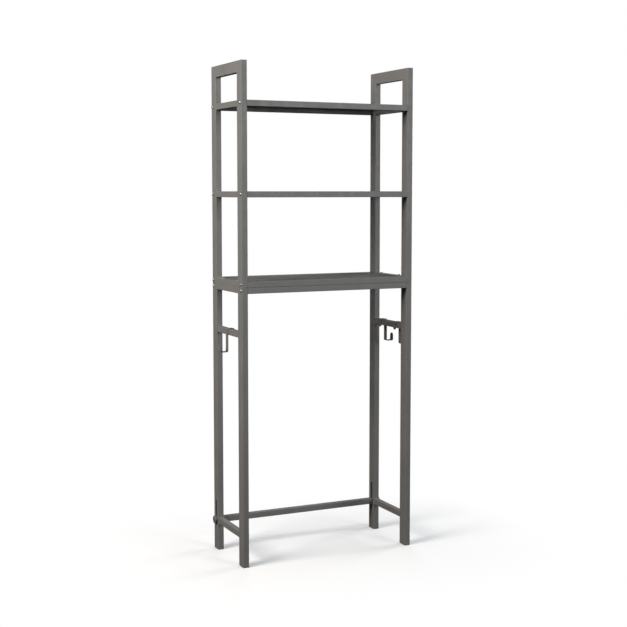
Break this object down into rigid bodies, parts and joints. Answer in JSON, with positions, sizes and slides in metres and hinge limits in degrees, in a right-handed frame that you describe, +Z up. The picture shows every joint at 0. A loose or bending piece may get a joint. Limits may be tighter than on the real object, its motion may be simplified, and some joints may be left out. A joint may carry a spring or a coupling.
{
  "type": "over-toilet storage rack",
  "caption": "Freestanding grey metal rack that stands over a toilet, with mesh shelves above, strap hooks on its side rails and a height-adjustable rear crossbar.",
  "frame": {"origin": "on the floor, at the middle of the rack's width and depth", "axes": "+Z up; +X to the right seen from the front; +Y to the back, so the front faces -Y"},
  "size_m": [0.688, 0.272, 1.664],
  "materials": {
    "frame_coating": "satin grey powder coat",
    "mesh_coating": "satin grey powder coat on expanded mesh",
    "hook_coating": "satin dark grey powder coat",
    "bolt_steel": "dark plated button heads",
    "zinc_steel": "zinc plated",
    "knob_plastic": "moulded dark grey plastic",
    "foot_plastic": "moulded dark grey plastic"
  },
  "bodies": {
    "frame": {"front_leg_rail": "frame_coating", "joining_bolts": "bolt_steel", "joining_nuts": "zinc_steel", "left_bottom_bar": "frame_coating", "left_front_foot_plug": "foot_plastic", "left_front_leg": "frame_coating", "left_hook_rail": "frame_coating", "left_leg_frame_top_rail": "frame_coating", "left_lower_shelf_side_rail": "frame_coating", "left_middle_shelf_side_rail": "frame_coating", "left_rear_foot_plug": "foot_plastic", "left_rear_leg": "frame_coating", "left_top_bar": "frame_coating", "left_top_shelf_side_rail": "frame_coating", "leg_rail_bolts": "bolt_steel", "lower_shelf_bolts": "bolt_steel", "lower_shelf_front_rail": "frame_coating", "lower_shelf_mesh": "mesh_coating", "lower_shelf_rear_rail": "frame_coating", "middle_shelf_bolts": "bolt_steel", "middle_shelf_front_rail": "frame_coating", "middle_shelf_mesh": "mesh_coating", "middle_shelf_rear_rail": "frame_coating", "rail_end_nuts": "zinc_steel", "rear_leg_rail": "frame_coating", "right_bottom_bar": "frame_coating", "right_front_foot_plug": "foot_plastic", "right_front_leg": "frame_coating", "right_hook_rail": "frame_coating", "right_leg_frame_top_rail": "frame_coating", "right_lower_shelf_side_rail": "frame_coating", "right_middle_shelf_side_rail": "frame_coating", "right_rear_foot_plug": "foot_plastic", "right_rear_leg": "frame_coating", "right_top_bar": "frame_coating", "right_top_shelf_side_rail": "frame_coating", "top_shelf_bolts": "bolt_steel", "top_shelf_front_rail": "frame_coating", "top_shelf_mesh": "mesh_coating", "top_shelf_rear_rail": "frame_coating", "upper_left_front_post": "frame_coating", "upper_left_rear_post": "frame_coating", "upper_right_front_post": "frame_coating", "upper_right_rear_post": "frame_coating"},
    "crossbar": {"crossbar": "frame_coating", "crossbar_end_nuts": "zinc_steel"},
    "left_knob": {"left_clamp_knob": "knob_plastic", "left_knob_stud": "zinc_steel"},
    "right_knob": {"right_clamp_knob": "knob_plastic", "right_knob_stud": "zinc_steel"},
    "left_hook": {"left_hook": "hook_coating"},
    "right_front_hook": {"right_front_hook": "hook_coating"},
    "right_rear_hook": {"right_rear_hook": "hook_coating"}
  },
  "joints": [
    {"name": "crossbar_height", "type": "slide", "parent": "frame", "child": "crossbar", "axis": [0, 0, 1], "range_m": [0, 0.065]},
    {"name": "left_knob_turn", "type": "hinge", "parent": "crossbar", "child": "left_knob", "pos_m": [-0.32, 0.116, 0.104], "axis": [1, 0, 0], "continuous": true},
    {"name": "right_knob_turn", "type": "hinge", "parent": "crossbar", "child": "right_knob", "pos_m": [0.32, 0.116, 0.104], "axis": [1, 0, 0], "continuous": true},
    {"name": "left_hook_slide", "type": "slide", "parent": "frame", "child": "left_hook", "axis": [0, 1, 0], "range_m": [-0.085, 0.085]},
    {"name": "right_front_hook_slide", "type": "slide", "parent": "frame", "child": "right_front_hook", "axis": [0, 1, 0], "range_m": [-0.031, 0.043]},
    {"name": "right_rear_hook_slide", "type": "slide", "parent": "frame", "child": "right_rear_hook", "axis": [0, 1, 0], "range_m": [-0.043, 0.031]}
  ]
}
